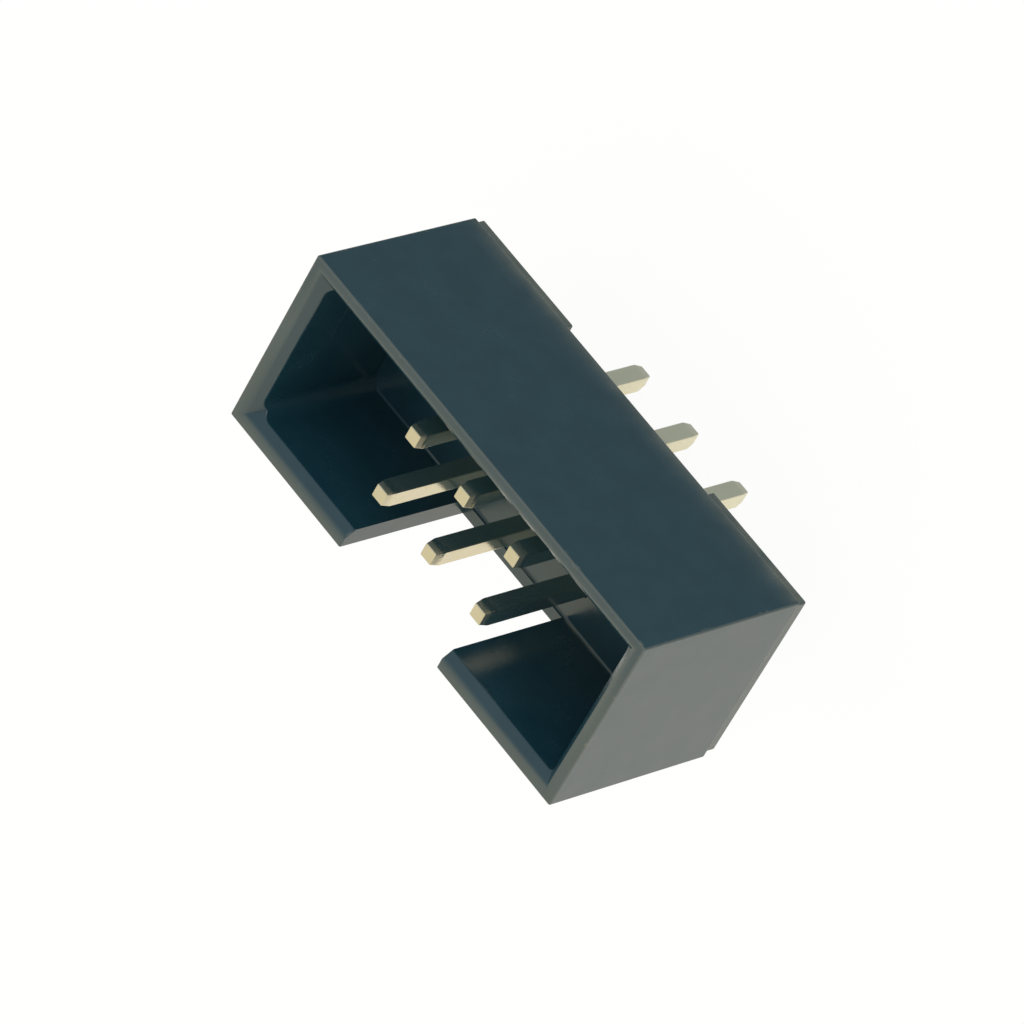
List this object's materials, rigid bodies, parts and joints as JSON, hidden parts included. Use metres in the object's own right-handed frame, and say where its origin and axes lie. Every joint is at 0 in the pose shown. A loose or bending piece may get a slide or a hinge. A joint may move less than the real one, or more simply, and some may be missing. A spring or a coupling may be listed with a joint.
{
  "type": "idc box header",
  "caption": "Straight shrouded pin header for a keyed ribbon-cable plug: dark moulded box open at the top, key slot in one long wall, gilt square pins with solder tails below.",
  "frame": {"origin": "centre of the contact grid on the board's face, which is the plane of the two stand-off pads", "axes": "+X along the rows, +Y away from the wall with the key slot, +Z out of the mouth; the tails point to -Z"},
  "size_m": [0.0132, 0.0054, 0.0083],
  "materials": {
    "housing_plastic": "satin moulded",
    "contact_gilt": "thin gold flash, satin"
  },
  "bodies": {
    "root": {"housing": "housing_plastic", "contact_pin_1": "contact_gilt", "contact_pin_2": "contact_gilt", "contact_pin_3": "contact_gilt", "contact_pin_4": "contact_gilt", "contact_pin_5": "contact_gilt", "contact_pin_6": "contact_gilt"}
  },
  "joints": []
}
